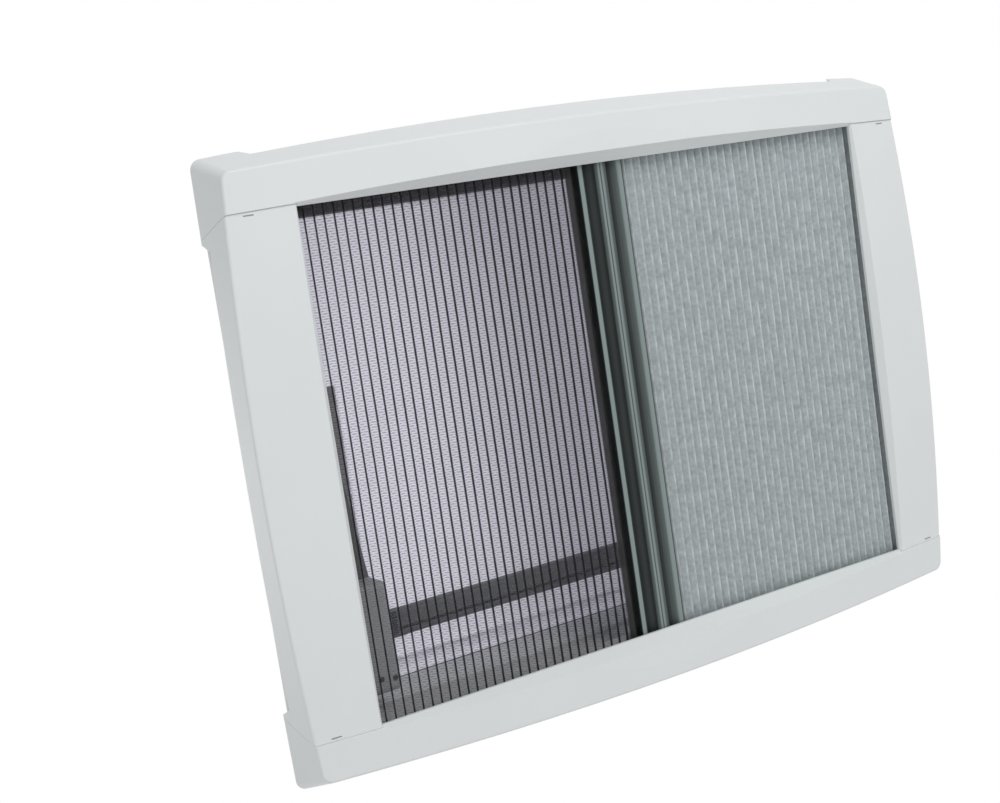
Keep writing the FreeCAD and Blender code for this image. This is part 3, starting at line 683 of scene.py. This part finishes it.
def fasten(name, body, piece, spots, made):
    """Repeats a small piece on spots, each a place and a facing, and lets the row ride on a body."""
    points = bpy.data.meshes.new(name + "_points")
    points.from_pydata([place for place, facing in spots], [], [])
    facings = points.attributes.new("facing", "FLOAT_VECTOR", "POINT")
    facings.data.foreach_set("vector", [axis for place, facing in spots for axis in facing])
    row = grow(name, FASTENERS, {"Along": ALONG_X, "Piece": piece, "Material": made}, points)
    bpy.data.objects.remove(piece)
    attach(row, body)
    return row


# Operators

class HATCH_OT_trim(bpy.types.Operator):
    """Moulded inner trim in four pieces"""
    bl_idname = "hatch.trim"
    bl_label = "Inner trim"

    def execute(self, context):
        look = context.scene.hatch_finish
        finish_nodes(["trim_left", "trim_right", "trim_hinge_side", "trim_handle_side"],
                     moulded("Trim plastic", look.trim, 0.42))
        spots = [surface_point(name, (side * SLOT_X, end * SLOT_Y, BELOW), UP)
                 for name, side in (("trim_left", -1), ("trim_right", 1)) for end in (-1, 1)]
        slots = fasten("trim_clip_slots", "frame", clip_slot(SLOT_SPAN, SLOT_WIDTH, SLOT_DEPTH), spots,
                       moulded("Slot shadow", shade(look.trim, 0.35), 0.7))
        return {"FINISHED"}


class HATCH_OT_roof_frame(bpy.types.Operator):
    """Roof frame, reveal panels, seal, clamps and hinge"""
    bl_idname = "hatch.roof_frame"
    bl_label = "Roof frame"

    def execute(self, context):
        look = context.scene.hatch_finish
        finish_nodes(["roof_frame"], moulded("Frame plastic", look.roof_frame, 0.45))
        finish_nodes(["reveal_left", "reveal_right", "reveal_hinge_side", "reveal_handle_side"],
                     moulded("Reveal plastic", look.reveal, 0.5))
        finish_nodes(["lid_seal"], moulded("Seal rubber", look.rubber, 0.75, grain=0.0016))
        finish_nodes(["mounting_clamps", "hinge_pin", "bow_pivot_left", "bow_pivot_right"],
                     metal("Zinc plate", look.zinc, 0.42))
        finish_nodes(["hinge_frame_leaf", "hinge_lid_leaf"], metal("Anodised hinge", look.anodised, 0.38))
        steel = metal("Screw zinc", shade(look.zinc, 0.9), 0.36, scratch=0.0003)
        fasten("clamp_screws", "frame", screw_head(CLAMP_HEAD), self.clamp_spots(), steel)
        spots = [surface_point("hinge_frame_leaf", (along, -BESIDE, FRAME_LEAF_Z), (0, 1, 0))
                 for along in HINGE_SCREWS]
        fasten("hinge_frame_screws", "frame", screw_head(FRAME_LEAF_HEAD), spots, steel)
        spots = [surface_point("hinge_lid_leaf", (along, -BESIDE, LID_LEAF_Z), (0, 1, 0))
                 for along in HINGE_SCREWS]
        fasten("hinge_lid_screws", "lid", screw_head(LID_LEAF_HEAD), spots, steel)
        return {"FINISHED"}

    def clamp_spots(self):
        """Two screws under the foot of every clamp and two in its wall."""
        spots = []
        pair = (-CLAMP_SCREW_STEP, CLAMP_SCREW_STEP)
        for along in [station + step for station in CLAMP_STATIONS for step in pair]:
            for side in (-1, 1):
                spots.append(self.clamp_spot((along, side * CLAMP_FOOT_Y, BELOW), UP))
                spots.append(self.clamp_spot((along, side * BESIDE, CLAMP_WALL_Z), (0, -side, 0)))
        for along in pair:
            for side in (-1, 1):
                spots.append(self.clamp_spot((side * CLAMP_FOOT_X, along, BELOW), UP))
                spots.append(self.clamp_spot((side * BESIDE, along, CLAMP_WALL_Z), (-side, 0, 0)))
        return spots

    def clamp_spot(self, start, direction):
        return surface_point("mounting_clamps", start, direction)


class HATCH_OT_lid(bpy.types.Operator):
    """Translucent lid with its runners, operating bow and locks"""
    bl_idname = "hatch.lid"
    bl_label = "Lid, bow and locks"

    def execute(self, context):
        look = context.scene.hatch_finish
        finish_nodes(["lid_dome", "lid_runner_left", "lid_runner_right"],
                     acrylic_material("Tinted acrylic", look.acrylic))
        # The inner pane carries the black painted shade along the hinge side and both ends
        finish_nodes(["lid_inner_pane"], acrylic_material("Acrylic with painted shade", look.acrylic, painted_shade=True))
        finish_nodes(["bow_bar", "bow_arm_left", "bow_arm_right"], bow_plastic(look.grey_plastic))
        finish_nodes(["lock_left", "lock_right"], moulded("Lock plastic", look.lock, 0.45))
        finish_nodes(["lock_catch_left", "lock_catch_right"], black_plastic(look))
        spots = [surface_point(name, (side * x, y, BELOW), UP)
                 for name, side in (("lock_left", -1), ("lock_right", 1)) for x, y in LOCK_SCREWS]
        screws = fasten("lock_screws", "frame", screw_head(LOCK_HEAD), spots, black_plastic(look))
        return {"FINISHED"}


class HATCH_OT_pull_bars(bpy.types.Operator):
    """Scooped pull bars of both screens, with their glides, guides and cassettes"""
    bl_idname = "hatch.pull_bars"
    bl_label = "Pull bars and guides"

    def execute(self, context):
        look = context.scene.hatch_finish
        for name, edge, stops in (("flyscreen_bar", FLYSCREEN_BAR_EDGE, FLYSCREEN_BAR_PAINTED_LIGHT),
                                  ("blind_bar", BLIND_BAR_EDGE, BLIND_BAR_PAINTED_LIGHT)):
            painted_light = bar_painted_light(name + " paint", look.bar, edge, stops)
            finish_nodes([name, name + "_rim", name + "_lip"], painted_light)
        finish_nodes(["flyscreen_bar_glides", "blind_bar_glides"], black_plastic(look))
        finish_nodes(["guide_hinge_side", "guide_handle_side", "flyscreen_cassette", "blind_cassette"],
                     moulded("Guide plastic", look.guide, 0.5))
        return {"FINISHED"}


def pleated_screen(name, node_name, values):
    """Grows a pleated sheet over its CAD node, lets it ride on the frame, hides the node and gives the sheet
    its own mesh.
    """
    piece = grow(name, PLEATS, values)
    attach(piece, "frame")
    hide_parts(node_name)
    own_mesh(piece)
    return piece


def cloth_length(folds, low, high, rise):
    """Length of a pleated sheet when it is pulled flat."""
    half_pitch = (high.x - low.x) / folds / 2
    return 2 * folds * math.hypot(half_pitch, rise)


class HATCH_OT_flyscreen(bpy.types.Operator):
    """Pleated mesh flyscreen"""
    bl_idname = "hatch.flyscreen"
    bl_label = "Flyscreen"

    def execute(self, context):
        look = context.scene.hatch_screens
        low, high = FLYSCREEN_LOW, FLYSCREEN_HIGH
        flat = cloth_length(look.fly_folds, low, high, FLYSCREEN_RISE)
        piece = pleated_screen("flyscreen_mesh", "flyscreen", {
            "Start": low.x, "End": high.x - END_GAP, "Half width": high.y, "Front": low.z,
            "Rise": FLYSCREEN_RISE, "Sway": look.sway, "Cloth length": flat, "Edge strip": look.edge_strip,
            "Folds": look.fly_folds, "Material": flyscreen_material(look)})
        return {"FINISHED"}


class HATCH_OT_blind(bpy.types.Operator):
    """Pleated blackout blind"""
    bl_idname = "hatch.blind"
    bl_label = "Blackout blind"

    def execute(self, context):
        look = context.scene.hatch_screens
        low, high = BLIND_LOW, BLIND_HIGH
        flat = cloth_length(look.blind_folds, low, high, BLIND_RISE)
        piece = pleated_screen("blind_cloth", "blackout_blind", {
            "Start": high.x, "End": low.x + END_GAP, "Half width": high.y, "Front": low.z,
            "Rise": BLIND_RISE, "Sway": look.sway, "Cloth length": flat, "Edge strip": BLIND_STRIP,
            "Folds": look.blind_folds, "Material": blind_material(look)})
        return {"FINISHED"}


class HATCH_OT_stage(bpy.types.Operator):
    """Camera, lamps, pale floor and white surroundings"""
    bl_idname = "hatch.stage"
    bl_label = "Stage"

    def execute(self, context):
        look = context.scene.hatch_stage
        self.camera(context, look)
        self.lamp("Key", look.key_power, (0.3, -1.5, -1.5), 1.2)
        self.lamp("Fill", look.fill_power, (-1.6, 0.6, -1.6), 1.6)
        self.lamp("Edge", look.edge_power, (1.5, 1.3, -1.1), 1.4)
        self.lamp("Sky", look.sky_power, (0.0, 0.2, 1.8), 1.8)
        self.floor(look)
        self.world(context, look)
        return {"FINISHED"}

    def camera(self, context, look):
        made = bpy.data.objects.new("Camera", bpy.data.cameras.new("Camera"))
        context.collection.objects.link(made)
        made.location = look.camera_place
        made.rotation_euler = look.camera_turn
        made.data.sensor_width = 36.0
        made.data.lens = look.lens
        made.data.clip_end = 50.0
        context.scene.camera = made

    def lamp(self, name, power, place, size):
        data = bpy.data.lights.new(name, "AREA")
        data.energy = power
        data.size = size
        made = bpy.data.objects.new(name, data)
        bpy.context.collection.objects.link(made)
        made.location = place
        made.rotation_euler = (-Vector(place)).to_track_quat("-Z", "Y").to_euler()

    def floor(self, look):
        shell = bmesh.new()
        bmesh.ops.create_grid(shell, x_segments=1, y_segments=1, size=8.0,
                              matrix=Matrix.Translation((0, 0, look.floor_drop)))
        mesh = bpy.data.meshes.new("floor")
        shell.to_mesh(mesh)
        shell.free()
        mesh.materials.append(moulded("Pale floor", (0.85, 0.85, 0.85), 0.8, grain=0.01))
        link("floor", mesh)

    def world(self, context, look):
        world = bpy.data.worlds.new("White surroundings")
        context.scene.world = world
        world.use_nodes = True
        tree = world.node_tree
        rays = node(tree, "ShaderNodeLightPath").outputs
        seen = maths(tree, "MAXIMUM", rays["Is Camera Ray"],
                     maths(tree, "MAXIMUM", rays["Is Glossy Ray"], rays["Is Transmission Ray"]))
        strength = node(tree, "ShaderNodeMix", {"Factor": seen, 2: look.ambient, 3: 1.0},
                        data_type="FLOAT").outputs[0]
        back = tree.nodes["Background"]
        back.inputs["Color"].default_value = (1, 1, 1, 1)
        tree.links.new(strength, back.inputs["Strength"])


class HATCH_PT_pieces(bpy.types.Panel):
    """Lists what dresses the hatch"""
    bl_label = "Roof hatch"
    bl_space_type = "VIEW_3D"
    bl_region_type = "UI"
    bl_category = "Hatch"

    def draw(self, context):
        for settings in ("hatch_finish", "hatch_screens", "hatch_stage"):
            box = self.layout.box()
            values = getattr(context.scene, settings)
            for key in values.__annotations__:
                box.prop(values, key)
        for operator in OPERATORS:
            self.layout.operator(operator.bl_idname)


SETTINGS = {"hatch_finish": HatchFinish, "hatch_screens": HatchScreens, "hatch_stage": HatchStage}
OPERATORS = [HATCH_OT_trim, HATCH_OT_roof_frame, HATCH_OT_lid, HATCH_OT_pull_bars, HATCH_OT_flyscreen,
             HATCH_OT_blind, HATCH_OT_stage]


def register():
    for name, settings in SETTINGS.items():
        bpy.utils.register_class(settings)
        setattr(bpy.types.Scene, name, bpy.props.PointerProperty(type=settings))
    for operator in OPERATORS:
        bpy.utils.register_class(operator)
    bpy.utils.register_class(HATCH_PT_pieces)


def unregister():
    bpy.utils.unregister_class(HATCH_PT_pieces)
    for operator in reversed(OPERATORS):
        bpy.utils.unregister_class(operator)
    for name, settings in SETTINGS.items():
        delattr(bpy.types.Scene, name)
        bpy.utils.unregister_class(settings)


def main():
    register()
    bpy.context.scene.view_settings.view_transform = "Standard"
    bpy.ops.hatch.trim()
    bpy.ops.hatch.roof_frame()
    bpy.ops.hatch.lid()
    bpy.ops.hatch.pull_bars()
    bpy.ops.hatch.flyscreen()
    bpy.ops.hatch.blind()
    bpy.ops.hatch.stage()


if __name__ == "__main__":
    main()
